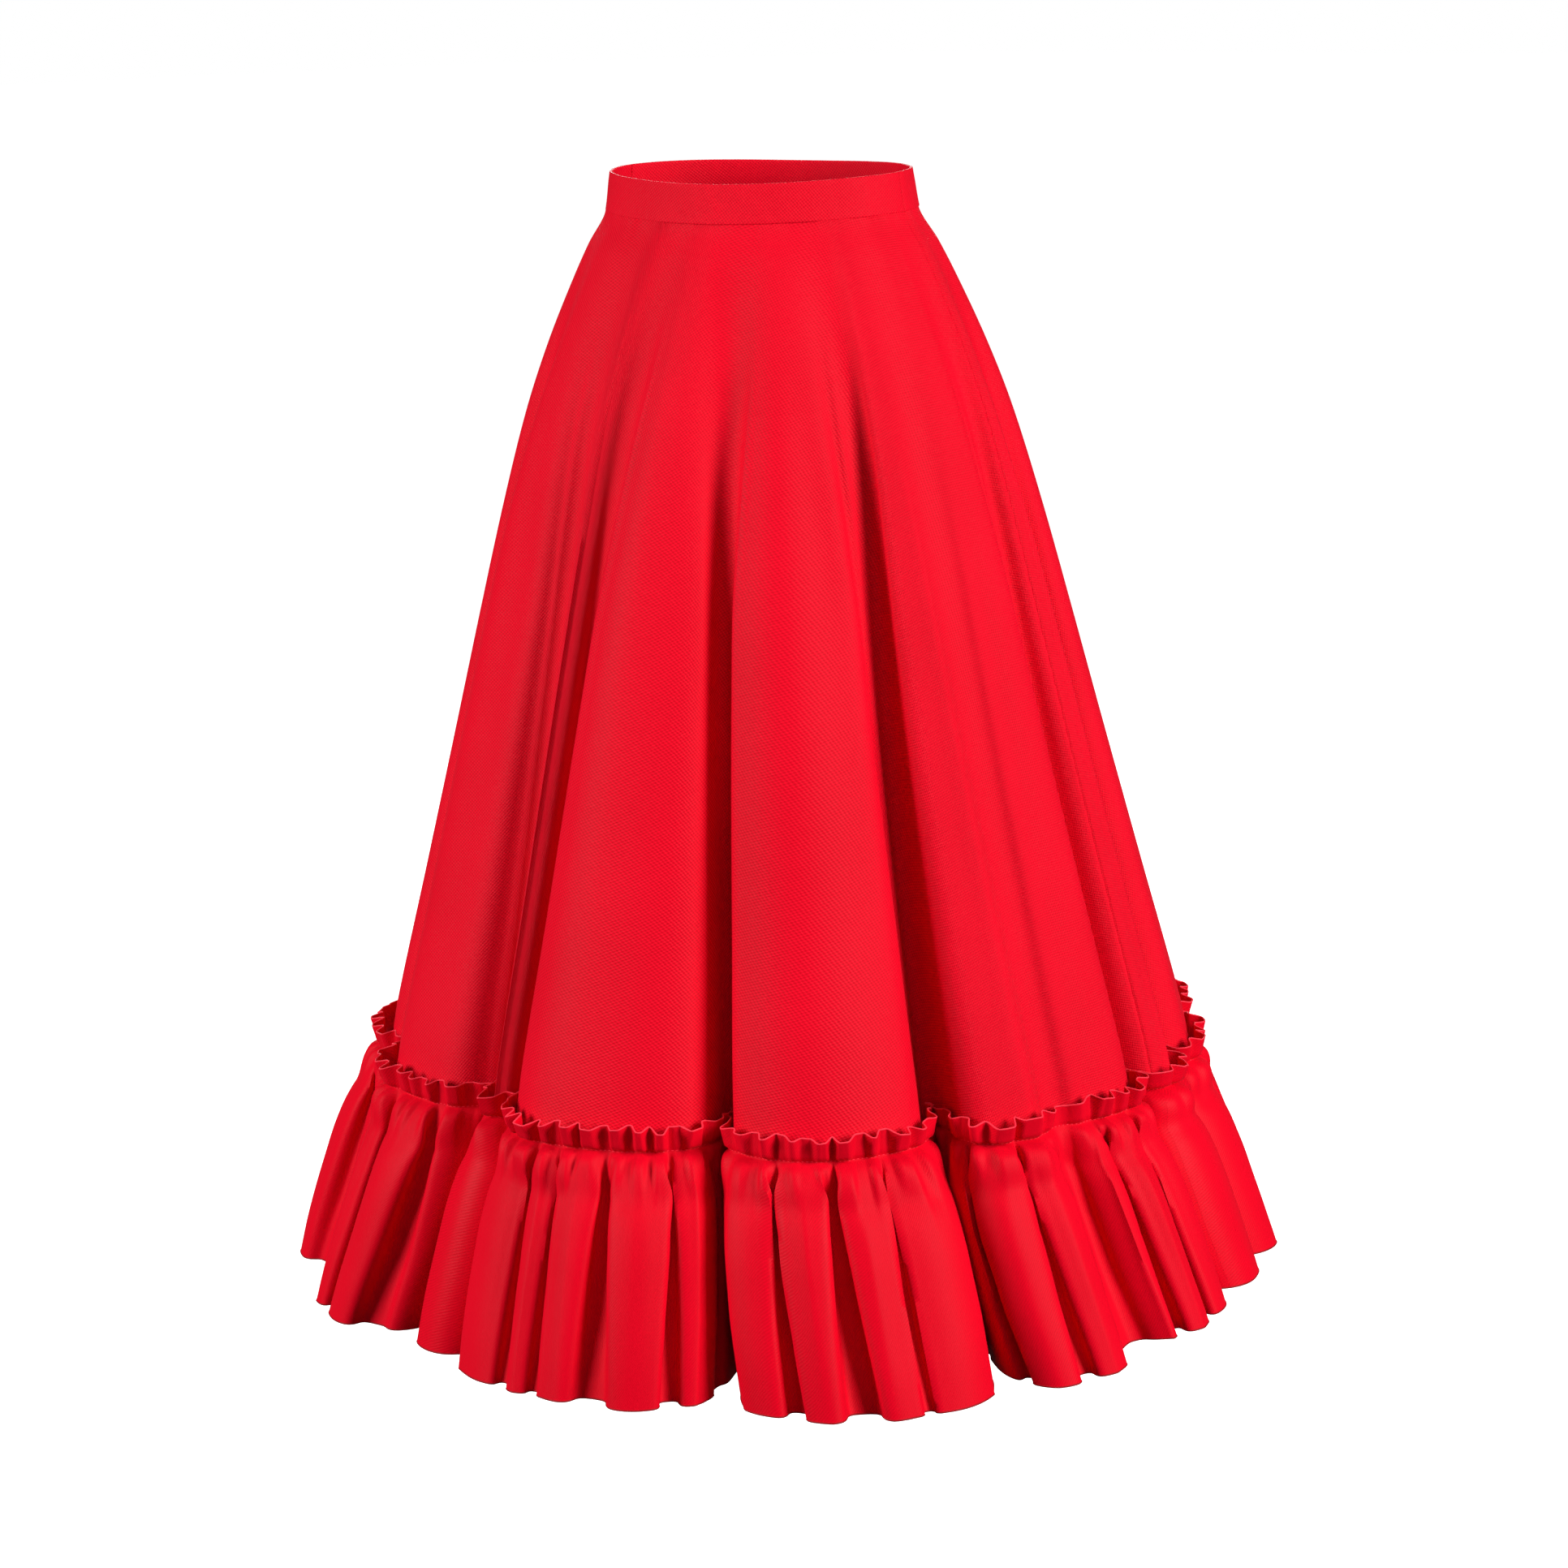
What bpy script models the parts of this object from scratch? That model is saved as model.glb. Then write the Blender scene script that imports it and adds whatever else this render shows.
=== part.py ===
"""Folk dance skirt, filled out with no wearer: a long flared skirt with a plain waistband and a gathered
ruffle that is sewn on top of its lower edge with a standing header.

Metres, +Z up. The front faces -Y and the wearer's left is +X. The origin is the middle of the waistband.
An angle round the skirt runs from centre front towards the wearer's left side.
"""

import math

import bmesh
import bpy
import numpy as np

for old in list(bpy.data.objects):
    bpy.data.objects.remove(old, do_unlink=True)

# Driving sizes
BAND_HEIGHT = 0.031
BAND_WALL = 0.0024
SKIRT_WALL = 0.0014
RUFFLE_WALL = 0.0013
SEAM_GAP = 0.0003
SIDE_RISE = 0.003           # the waistband sits this much higher at the sides than at the front
SIDE_RISE_FADES = 0.12      # and the rise is gone this far below it
HEADER_TOP = -0.685
GATHER_LINE = -0.7035
PANEL_BOTTOM = -0.7125
HEM = -0.888

# Outer form: height, half width seen across the view, depth over width
SILHOUETTE = [
    (0.0155, 0.1235, 0.76),
    (-0.0155, 0.1285, 0.76),
    (-0.0425, 0.1440, 0.78),
    (-0.0685, 0.1570, 0.80),
    (-0.1205, 0.1805, 0.82),
    (-0.1725, 0.2000, 0.84),
    (-0.2525, 0.2240, 0.86),
    (-0.3315, 0.2450, 0.88),
    (-0.4395, 0.2725, 0.90),
    (-0.5495, 0.3010, 0.91),
    (-0.6605, 0.3300, 0.92),
    (-0.7125, 0.3425, 0.92),
    (-0.7445, 0.3680, 0.92),
    (-0.7725, 0.3815, 0.92),
    (-0.8013, 0.3925, 0.91),
    (-0.8298, 0.4030, 0.91),
    (-0.8583, 0.4130, 0.91),
    (-0.8880, 0.4220, 0.90),
]

# Cone folds, a row for each valley and the lobe after it: the valley's angle at the waist, at the
# gathering line and at the hem in degrees; its depth and the half widths of its mouth and floor at the
# panel's lower edge; how far the lobe's crest lies below the outer form there; the ruffle's ripples over it
FOLDS = [
    (-86, -84, -83, 0.062, 0.012, 0.016, 0.000, 3),
    (-62, -58, -58, 0.060, 0.011, 0.015, 0.000, 4),
    (-27, -29, -34, 0.050, 0.013, 0.010, 0.026, 1),
    (-12, -22, -23, 0.056, 0.008, 0.009, 0.000, 6),
    (9, 12.7, 14, 0.080, 0.008, 0.016, 0.000, 4),
    (38.5, 45.5, 48, 0.076, 0.009, 0.015, 0.000, 3),
    (54, 62.5, 66, 0.012, 0.016, 0.012, 0.000, 3),
    (76, 82.5, 84, 0.044, 0.009, 0.010, 0.003, 1),
    (96, 95, 95, 0.050, 0.010, 0.013, 0.000, 2),
    (121, 115, 114, 0.060, 0.012, 0.014, 0.002, 3),
    (143, 139, 139, 0.066, 0.010, 0.015, 0.000, 3),
    (167, 166, 166, 0.058, 0.013, 0.013, 0.003, 3),
    (192, 193, 193, 0.070, 0.009, 0.016, 0.000, 3),
    (217, 220, 219, 0.056, 0.013, 0.013, 0.002, 3),
    (243, 246, 247, 0.066, 0.010, 0.016, 0.000, 4),
]
POINTS_A_LOBE = 7
WAIST_MOUTH = 0.30          # part of a lobe's angle, where the folds are only soft waves
WAIST_FLOOR = 0.10
SHOULDER_DEPTH = 0.32       # of the valley's depth
LOBE_CROWN = 0.24           # where a lobe's crown starts, in parts of its angle past the shoulder
SHARP_BY = 0.45             # part of the panel's height by which the clefts have closed up
DRIFT_EASE = 0.7            # the valleys drift round fastest near the waist
FLOUNCE_WIDENING = 0.25     # part by which the clefts widen down the flounce
FLOUNCE_DEEPENING = 1.1     # how fast they deepen there, against the panel

# Side seams, counted in lobes from the first fold
LEFT_SEAM = 7.25            # wearer's left
RIGHT_SEAM = -0.50
SEAM_STEP = 0.003           # over which the cloth's direction at a seam is taken

# Ruffle: height, gathers' swing, ripples' swing, samples over a ripple
HEADER_WAVES = 3            # to each ripple
RUFFLE_ROWS = [
    (HEADER_TOP, 0.0040, 0.0008, 12),
    (GATHER_LINE, 0.0018, 0.0008, 12),
    (-0.7300, 0.0012, 0.0044, 6),
    (-0.7700, 0.0003, 0.0080, 6),
    (-0.8200, 0.0000, 0.0094, 6),
    (-0.8600, 0.0000, 0.0102, 6),
    (HEM, 0.0000, 0.0110, 6),
]
HEADER_LEAN = 0.0012        # the header's top edge stands off its gathering line
CLEFT_REACH = 0.26          # part of a lobe's places that lies in the cleft at each side
CLEFT_CENTRE = -0.07        # place of a valley's middle, before the lobe's first place
CLEFT_CROWDING = 0.50       # in a cleft the waves are this much sparser
CLEFT_DAMPING = 0.92        # the ripples swing this much less
GATHER_DAMPING = 0.97       # and so much less the gathers
NARROW_LOBE = 14.0          # degrees; the ruffle's waves are lower on a lobe narrower than this
CLEFT_CLEARANCE = 0.0018    # the ruffle spans a valley's floor, clear of the panel
RUFFLE_STAND_OFF = 0.0008
RIPPLE_SEED = 7
HEM_RISE = 0.032            # the hem is this much shorter at the wearer's left, behind the side seam
HEM_RISE_GROWS = (4.2, 7.8) # places in lobes between which it grows
HEM_RISE_FADES = (9.0, 13.0)
RIPPLE_FULLNESS = 1.55      # below 2 a ripple's crest is broad and its trough narrow

# Panel: height, samples over a lobe
PANEL_ROWS = [
    (-0.0158, 5), (-0.050, 5), (-0.100, 7), (-0.170, 7), (-0.250, 9), (-0.350, 10), (-0.460, 12),
    (-0.580, 13), (PANEL_BOTTOM, 14),
]
BAND_SAMPLES = 5
CLEFT_DENSITY = 0.45

RED = (0.86, 0.012, 0.028, 1.0)
DEEP_RED = (0.80, 0.010, 0.024, 1.0)

BAND_TOP = BAND_HEIGHT / 2
BAND_BOTTOM = -BAND_HEIGHT / 2
LOBES = len(FOLDS)


def outer_form(z):
    """Half width and half depth of the outer form at a height."""
    rows = np.array(SILHOUETTE)[::-1]
    half_width = float(np.interp(z, rows[:, 0], rows[:, 1]))
    return half_width, half_width * float(np.interp(z, rows[:, 0], rows[:, 2]))


def smooth_step(x):
    x = np.clip(x, 0.0, 1.0)
    return x * x * (3.0 - 2.0 * x)


def fold_controls(z, inset=0.0):
    """XY control points of the folded section at a height, inside the outer form, lobe by lobe."""
    half_width, half_depth = (size - inset for size in outer_form(z))
    growth = max((BAND_BOTTOM - z) / (BAND_BOTTOM - PANEL_BOTTOM), 0.0)
    depth_growth = min(growth, 1.0) + FLOUNCE_DEEPENING * max(growth - 1.0, 0.0)
    sharp = smooth_step(growth / SHARP_BY)
    mean_radius = (half_width + half_depth) / 2
    down_panel = min(max((BAND_BOTTOM - z) / (BAND_BOTTOM - GATHER_LINE), 0.0), 1.0)
    down_ruffle = max((GATHER_LINE - z) / (GATHER_LINE - HEM), 0.0)

    def valley(i):
        turns, row = divmod(i, LOBES)
        at_waist, at_gathers, at_hem, depth, mouth, floor = FOLDS[row][:6]
        angle = at_waist + (at_gathers - at_waist) * down_panel ** DRIFT_EASE
        angle += (at_hem - at_gathers) * down_ruffle + 360.0 * turns
        widening = (1 + FLOUNCE_WIDENING * down_ruffle) / mean_radius
        return math.radians(angle), depth * depth_growth, mouth * widening, floor * widening

    points = []
    for i in range(LOBES):
        start, depth, mouth, floor = valley(i)
        end, next_depth, next_mouth, next_floor = valley(i + 1)
        span = end - start
        crest = FOLDS[i][6] * depth_growth
        mouth = mouth * sharp + WAIST_MOUTH * span * (1 - sharp)
        next_mouth = next_mouth * sharp + WAIST_MOUTH * span * (1 - sharp)
        floor = min(floor * sharp, 0.3 * span) + WAIST_FLOOR * span * (1 - sharp)
        next_floor = min(next_floor * sharp, 0.3 * span) + WAIST_FLOOR * span * (1 - sharp)
        mouth, next_mouth = min(mouth, 0.3 * span), min(next_mouth, 0.3 * span)
        crown = LOBE_CROWN * (span - mouth - next_mouth)
        controls = [
            (start + floor, depth),
            (start + mouth, crest + (depth - crest) * SHOULDER_DEPTH),
            (start + mouth + crown, crest),
            ((start + mouth + end - next_mouth) / 2, crest),
            (end - next_mouth - crown, crest),
            (end - next_mouth, crest + (next_depth - crest) * SHOULDER_DEPTH),
            (end - next_floor, next_depth),
        ]
        for angle, inward in controls:
            on_form = np.array([half_width * math.sin(angle), -half_depth * math.cos(angle)])
            normal = np.array([half_depth * math.sin(angle), -half_width * math.cos(angle)])
            points.append(on_form - inward * normal / np.linalg.norm(normal))
    return np.array(points)


def spline(controls, place):
    """Points and outward normals of the closed cubic B-spline, at places counted in lobes."""
    t = np.asarray(place, dtype=float) * POINTS_A_LOBE
    first = np.floor(t).astype(int)
    f = (t - first)[:, None]
    a, b, c, d = (controls[(first + k) % len(controls)] for k in (-1, 0, 1, 2))
    point = ((1 - f) ** 3 * a + (3 * f ** 3 - 6 * f ** 2 + 4) * b
             + (-3 * f ** 3 + 3 * f ** 2 + 3 * f + 1) * c + f ** 3 * d) / 6
    slope = (-(1 - f) ** 2 * a + (3 * f ** 2 - 4 * f) * b + (-3 * f ** 2 + 2 * f + 1) * c + f ** 2 * d) / 2
    normal = np.stack([slope[:, 1], -slope[:, 0]], axis=1)
    return point, normal / np.linalg.norm(normal, axis=1)[:, None]


def lift(points, z):
    """Height of each point: the waistband and the top of the panels rise towards the sides."""
    share = np.abs(points[:, 0]) / np.maximum(np.linalg.norm(points, axis=1), 1e-9)
    fade = 1.0 - smooth_step((BAND_BOTTOM - z) / SIDE_RISE_FADES)
    return z + SIDE_RISE * (share ** 2 - 0.5) * fade


def body_curve(z):
    controls = fold_controls(z)
    return lambda place: spline(controls, place)


def in_cleft(place):
    """One on a valley's floor, most of it on its walls, and zero on a lobe's face."""
    part = (place - CLEFT_CENTRE) % 1.0
    return np.clip(1.0 - np.minimum(part, 1.0 - part) / CLEFT_REACH, 0.0, 1.0) ** 0.5


def arc_tables():
    """For each lobe: the spline's places against the share of the lobe's gathers up to there."""
    steps = np.linspace(0.0, 1.0, 121)
    controls = fold_controls(GATHER_LINE)
    tables = []
    for i in range(LOBES):
        points, _ = spline(controls, i + steps)
        lengths = np.linalg.norm(np.diff(points, axis=0), axis=1)
        lengths *= 1.0 - CLEFT_CROWDING * (in_cleft(steps[1:] - 1e-6) + in_cleft(steps[:-1])) / 2
        shares = np.concatenate([[0.0], np.cumsum(lengths)])
        tables.append((shares / shares[-1], steps))
    return tables


ARC_TABLES = arc_tables()
RIPPLES = [row[7] for row in FOLDS]
LOBE_SPANS = np.diff([row[1] for row in FOLDS] + [FOLDS[0][1] + 360.0])
RIPPLE_START = np.concatenate([[0], np.cumsum(RIPPLES)])
SWING = 1.0 + 0.38 * (2.0 * np.random.default_rng(RIPPLE_SEED).random(int(RIPPLE_START[-1])) - 1.0)


def ripple_place(ripple):
    """Place in lobes of each ripple count; whole counts are the ripples' troughs."""
    ripple = np.asarray(ripple, dtype=float)
    total = RIPPLE_START[-1]
    turns = np.floor(ripple / total)
    inside = ripple - turns * total
    lobe = np.clip(np.searchsorted(RIPPLE_START, inside, side="right") - 1, 0, LOBES - 1)
    place = np.empty_like(inside)
    for k in range(LOBES):
        here = lobe == k
        share = (inside[here] - RIPPLE_START[k]) / RIPPLES[k]
        place[here] = k + np.interp(share, *ARC_TABLES[k])
    return place + turns * LOBES


def place_ripple(place):
    """The inverse of ripple_place."""
    place = np.asarray(place, dtype=float)
    lobe = np.floor(place).astype(int)
    count = np.empty_like(place)
    for k, (whole, part) in enumerate(zip(lobe, place - lobe)):
        share = np.interp(part, ARC_TABLES[whole % LOBES][1], ARC_TABLES[whole % LOBES][0])
        turns = whole // LOBES
        count[k] = RIPPLE_START[whole % LOBES] + share * RIPPLES[whole % LOBES] + turns * RIPPLE_START[-1]
    return count


def ruffle_curve(z, gathers, ripples):
    """Centre line of the ruffle at a height, from the folded section moved out by its own waves."""
    clear = SKIRT_WALL / 2 + RUFFLE_STAND_OFF + RUFFLE_WALL / 2
    fall = max((GATHER_LINE - z) / (GATHER_LINE - HEM), 0.0)
    controls = fold_controls(min(z, GATHER_LINE), 2 * ripples * fall ** 0.5)

    def curve(place):
        ripple = place_ripple(place)
        base, normal = spline(controls, place)
        whole = np.floor(ripple).astype(int)
        size = SWING[whole % len(SWING)]
        after = SWING[(whole + 1) % len(SWING)]
        part = ripple - whole
        ease = part * part * (3 - 2 * part)
        size = size * (1 - ease) + after * ease
        narrow = np.minimum(LOBE_SPANS[np.floor(place).astype(int) % LOBES] / NARROW_LOBE, 1.0) ** 2
        size = size * narrow * (1.0 - CLEFT_DAMPING * in_cleft(place))
        wave = gathers * (1 - np.cos(2 * math.pi * HEADER_WAVES * ripple))
        wave = wave * narrow * (1.0 - GATHER_DAMPING * in_cleft(place))
        wave = wave + 2 * ripples * size * np.abs(np.sin(math.pi * ripple)) ** RIPPLE_FULLNESS
        out = (clear + CLEFT_CLEARANCE * in_cleft(place)) * (1 - fall) + wave
        out = out + HEADER_LEAN * max((z - GATHER_LINE) / (HEADER_TOP - GATHER_LINE), 0.0)
        return base + normal * out[:, None], normal

    return curve


def hem_share(place):
    """Part of the hem's rise at each place."""
    (grows, grown), (fades, faded) = HEM_RISE_GROWS, HEM_RISE_FADES
    return smooth_step((place - grows) / (grown - grows)) * (1 - smooth_step((place - fades) / (faded - fades)))


def risen(curve, higher):
    """A ruffle section that goes over to a higher one where the hem rises."""
    def between(place):
        share = hem_share(place)[:, None]
        (low, low_normal), (high, high_normal) = curve(place), higher(place)
        return low * (1 - share) + high * share, low_normal * (1 - share) + high_normal * share

    return between


def ends(curve, start, end):
    """The seam places of a panel's section, drawn in by half the seam gap."""
    drawn = []
    for place, sign in ((start, 1.0), (end, -1.0)):
        pair, _ = curve(place + np.array([-SEAM_STEP, SEAM_STEP]))
        speed = np.linalg.norm(pair[1] - pair[0]) / (2 * SEAM_STEP)
        drawn.append(place + sign * SEAM_GAP / 2 / speed)
    return drawn


def inner_places(grid, first, last):
    """Grid places well inside the seams, with the seams themselves at both ends."""
    spacing = np.median(np.diff(grid))
    kept = grid[(grid > first + 0.35 * spacing) & (grid < last - 0.35 * spacing)]
    return np.concatenate([[first], kept, [last]])


def ring(curve, places, z, wall, rise=0.0):
    """One section of a wall: its places, its outer points and its inner points."""
    centre, _ = curve(places)
    ahead = np.empty_like(centre)
    ahead[1:-1] = centre[2:] - centre[:-2]
    for end in (0, -1):
        pair, _ = curve(places[end] + np.array([-SEAM_STEP, SEAM_STEP]))
        ahead[end] = pair[1] - pair[0]
    normal = np.stack([ahead[:, 1], -ahead[:, 0]], axis=1)
    normal /= np.linalg.norm(normal, axis=1)[:, None]
    side = np.diff(centre, axis=0)
    side /= np.linalg.norm(side, axis=1)[:, None]
    turn = np.ones(len(centre))
    turn[1:-1] = np.sqrt(np.clip((1 + np.sum(side[1:] * side[:-1], axis=1)) / 2, 0.35, 1.0))
    half = (wall / 2 / turn)[:, None]
    heights = (lift(centre, z) + rise)[:, None]
    return places, np.hstack([centre + normal * half, heights]), np.hstack([centre - normal * half, heights])


def wall_mesh(name, rings, material):
    """A closed wall lofted through rings, top to bottom, with any number of points in each."""
    mesh = bpy.data.meshes.new(name)
    bm = bmesh.new()
    sides = []
    for side in (1, 2):
        sides.append([[bm.verts.new(point) for point in section[side]] for section in rings])

    def face(*verts):
        bm.faces.new(verts)

    for rows, facing_out in zip(sides, (True, False)):
        for k in range(len(rings) - 1):
            upper, lower = rows[k], rows[k + 1]
            upper_places, lower_places = rings[k][0], rings[k + 1][0]
            i = j = 0
            while i < len(upper) - 1 or j < len(lower) - 1:
                take_upper = j == len(lower) - 1 or (
                    i < len(upper) - 1 and upper_places[i + 1] <= lower_places[j + 1])
                if take_upper:
                    corner = (upper[i], lower[j], upper[i + 1])
                    i += 1
                else:
                    corner = (upper[i], lower[j], lower[j + 1])
                    j += 1
                face(*(corner if facing_out else corner[::-1]))
    outer, inner = sides
    for rows, order in ((0, 1), (-1, -1)):
        for i in range(len(outer[rows]) - 1):
            quad = [inner[rows][i], outer[rows][i], outer[rows][i + 1], inner[rows][i + 1]][::order]
            face(quad[0], quad[1], quad[2])
            face(quad[0], quad[2], quad[3])
    for end, order in ((0, 1), (-1, -1)):
        for k in range(len(rings) - 1):
            quad = [outer[k][end], inner[k][end], inner[k + 1][end], outer[k + 1][end]][::order]
            face(quad[0], quad[1], quad[2])
            face(quad[0], quad[2], quad[3])
    bm.to_mesh(mesh)
    bm.free()
    mesh.shade_smooth()
    mesh.set_sharp_from_angle(angle=math.radians(50))
    mesh.materials.append(material)
    thing = bpy.data.objects.new(name, mesh)
    bpy.context.scene.collection.objects.link(thing)
    return thing


def cloth(name, colour, roughness):
    material = bpy.data.materials.new(name)
    material.use_nodes = True
    shader = material.node_tree.nodes["Principled BSDF"]
    shader.inputs["Base Color"].default_value = colour
    shader.inputs["Roughness"].default_value = roughness
    shader.inputs["Metallic"].default_value = 0.0
    return material


def lobe_grid(samples, start, end):
    """Places from one seam to the other, closer together in the clefts, where the cloth turns sharply."""
    first, last = math.floor(start * samples), math.ceil(end * samples)
    even = np.arange(first, last + 1) / samples
    return even - CLEFT_DENSITY * np.sin(2 * math.pi * even) / (2 * math.pi)


def make_band(name, start, end, material):
    rings = []
    for z in (BAND_TOP, BAND_BOTTOM):
        curve = body_curve(z)
        first, last = ends(curve, start, end)
        places = inner_places(lobe_grid(BAND_SAMPLES, start, end), first, last)
        rings.append(ring(curve, places, z, BAND_WALL))
    return wall_mesh(name, rings, material)


def make_panel(name, start, end, material):
    rings = []
    for z, samples in PANEL_ROWS:
        curve = body_curve(z)
        first, last = ends(curve, start, end)
        places = inner_places(lobe_grid(samples, start, end), first, last)
        rings.append(ring(curve, places, z, SKIRT_WALL))
    return wall_mesh(name, rings, material)


def make_ruffle(name, start, end, material):
    rings = []
    first_ripple, last_ripple = place_ripple(np.array([start, end]))
    for z, gathers, ripples, samples in RUFFLE_ROWS:
        rise = HEM_RISE * max((GATHER_LINE - z) / (GATHER_LINE - HEM), 0.0)
        curve = risen(ruffle_curve(z, gathers, ripples), ruffle_curve(z + rise, gathers, ripples))
        first, last = ends(curve, start, end)
        grid = np.arange(math.floor(first_ripple * samples), math.ceil(last_ripple * samples) + 1) / samples
        places = inner_places(ripple_place(grid), first, last)
        rings.append(ring(curve, places, z, RUFFLE_WALL, rise * hem_share(places)))
    return wall_mesh(name, rings, material)


def make_skirt():
    body = cloth("twill", RED, 0.62)
    crepe = cloth("crepe", DEEP_RED, 0.68)
    halves = (("front", RIGHT_SEAM, LEFT_SEAM), ("back", LEFT_SEAM, RIGHT_SEAM + LOBES))
    for half, start, end in halves:
        make_band("waistband_" + half, start, end, body)
        make_panel("skirt_" + half, start, end, body)
        make_ruffle("ruffle_" + half, start, end, crepe)


make_skirt()
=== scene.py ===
# Red folk dance skirt, filled out with no wearer: its looks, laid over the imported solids.
# Metres, +Z up, the front faces -Y and the wearer's left is +X. The origin is the middle of the waistband.
import math

import bpy
import numpy as np
from mathutils import Matrix, Vector


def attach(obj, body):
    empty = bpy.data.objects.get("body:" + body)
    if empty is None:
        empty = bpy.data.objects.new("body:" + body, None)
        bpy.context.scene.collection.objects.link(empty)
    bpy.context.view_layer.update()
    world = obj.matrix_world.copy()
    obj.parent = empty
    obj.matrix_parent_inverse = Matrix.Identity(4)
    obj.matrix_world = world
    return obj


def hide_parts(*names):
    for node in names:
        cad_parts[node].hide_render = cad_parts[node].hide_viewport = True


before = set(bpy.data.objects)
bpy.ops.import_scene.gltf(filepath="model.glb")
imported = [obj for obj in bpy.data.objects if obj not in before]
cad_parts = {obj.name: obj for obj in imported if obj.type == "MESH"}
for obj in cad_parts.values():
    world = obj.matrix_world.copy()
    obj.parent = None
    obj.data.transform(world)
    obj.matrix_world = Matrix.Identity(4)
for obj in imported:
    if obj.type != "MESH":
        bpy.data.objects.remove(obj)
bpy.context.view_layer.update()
print("frame loaded:", ", ".join(sorted(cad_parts)))

# The form: heights, seams and folds, the same as the solids have
form = {
    "bandTop": 0.0155,
    "bandBottom": -0.0155,
    "headerTop": -0.685,
    "gatherLine": -0.7035,
    "panelBottom": -0.7125,
    "hem": -0.888,
    "sideRise": 0.003,          # the waistband is this much higher at the sides than at the front
    "sideRiseFades": 0.12,
    "leftSeam": 7.25,           # side seams, counted in lobes from the first fold
    "rightSeam": -0.50,
    "pointsPerLobe": 7,
    "waistMouth": 0.30,         # part of a lobe's angle, at the waist
    "waistFloor": 0.10,
    "shoulderDepth": 0.32,      # of the valley's depth
    "lobeCrown": 0.24,
    "sharpBy": 0.45,            # part of the panel's height by which the clefts have closed up
    "driftEase": 0.7,
    "flounceWidening": 0.25,
    "flounceDeepening": 1.1,
    "cleftReach": 0.26,
    "cleftCentre": -0.07,       # place of a valley's middle, before its lobe's first place
    "cleftCrowding": 0.50,
    "mouthLimit": 0.3,          # no mouth or floor is wider than this part of its lobe's angle
    "sharpCorner": 60.0,        # degrees from which a shell's edge is drawn sharp
    "hemRise": 0.032,           # the hem is this much shorter at the wearer's left, behind the side seam
    "riseGrows": (4.2, 7.8),    # places in lobes between which it grows
    "riseFades": (9.0, 13.0),
}
# Height, half width across the view, depth over width
silhouette = np.array([
    (0.0155, 0.1235, 0.76), (-0.0155, 0.1285, 0.76), (-0.0425, 0.1440, 0.78), (-0.0685, 0.1570, 0.80),
    (-0.1205, 0.1805, 0.82), (-0.1725, 0.2000, 0.84), (-0.2525, 0.2240, 0.86), (-0.3315, 0.2450, 0.88),
    (-0.4395, 0.2725, 0.90), (-0.5495, 0.3010, 0.91), (-0.6605, 0.3300, 0.92), (-0.7125, 0.3425, 0.92),
    (-0.7445, 0.3680, 0.919), (-0.7725, 0.3815, 0.917), (-0.8013, 0.3925, 0.914), (-0.8298, 0.4030, 0.910),
    (-0.8583, 0.4130, 0.905), (-0.8880, 0.4220, 0.900),
])[::-1]
# A row for each valley and the lobe after it: its angle in degrees at the waist, the gathers and the hem,
# its depth and the half widths of its mouth and floor, how far in the lobe's crest lies, the ruffle's folds
foldRows = [
    (-86, -84, -83, 0.062, 0.012, 0.016, 0.000, 3),
    (-62, -58, -58, 0.060, 0.011, 0.015, 0.000, 4),
    (-27, -29, -34, 0.050, 0.013, 0.010, 0.026, 1),
    (-12, -22, -23, 0.056, 0.008, 0.009, 0.000, 6),
    (9, 12.7, 14, 0.080, 0.008, 0.016, 0.000, 4),
    (38.5, 45.5, 48, 0.076, 0.009, 0.015, 0.000, 3),
    (54, 62.5, 66, 0.012, 0.016, 0.012, 0.000, 3),
    (76, 82.5, 84, 0.044, 0.009, 0.010, 0.003, 1),
    (96, 95, 95, 0.050, 0.010, 0.013, 0.000, 2),
    (121, 115, 114, 0.060, 0.012, 0.014, 0.002, 3),
    (143, 139, 139, 0.066, 0.010, 0.015, 0.000, 3),
    (167, 166, 166, 0.058, 0.013, 0.013, 0.003, 3),
    (192, 193, 193, 0.070, 0.009, 0.016, 0.000, 3),
    (217, 220, 219, 0.056, 0.013, 0.013, 0.002, 3),
    (243, 246, 247, 0.066, 0.010, 0.016, 0.000, 4),
]
lobeCount = len(foldRows)


def smoothStep(x):
    x = np.clip(x, 0.0, 1.0)
    return x * x * (3.0 - 2.0 * x)


def smoothTable(x, xs, ys):
    # a curve without corners through a table's rows
    k = int(np.clip(np.searchsorted(xs, x) - 1, 0, len(xs) - 2))
    h = xs[k + 1] - xs[k]
    t = (x - xs[k]) / h

    def slopeAt(i):
        if i == 0 or i == len(xs) - 1:
            j = min(i, len(xs) - 2)
            return (ys[j + 1] - ys[j]) / (xs[j + 1] - xs[j])
        a = (ys[i] - ys[i - 1]) / (xs[i] - xs[i - 1])
        b = (ys[i + 1] - ys[i]) / (xs[i + 1] - xs[i])
        return 0.0 if a * b <= 0 else 2 * a * b / (a + b)

    if t < 0 or t > 1:
        return float(ys[0] if t < 0 else ys[-1])
    a, b = slopeAt(k) * h, slopeAt(k + 1) * h
    return float((2 * t**3 - 3 * t**2 + 1) * ys[k] + (t**3 - 2 * t**2 + t) * a
                 + (3 * t**2 - 2 * t**3) * ys[k + 1] + (t**3 - t**2) * b)


def outerForm(z):
    halfWidth = smoothTable(z, silhouette[:, 0], silhouette[:, 1])
    return halfWidth, halfWidth * smoothTable(z, silhouette[:, 0], silhouette[:, 2])


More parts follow.
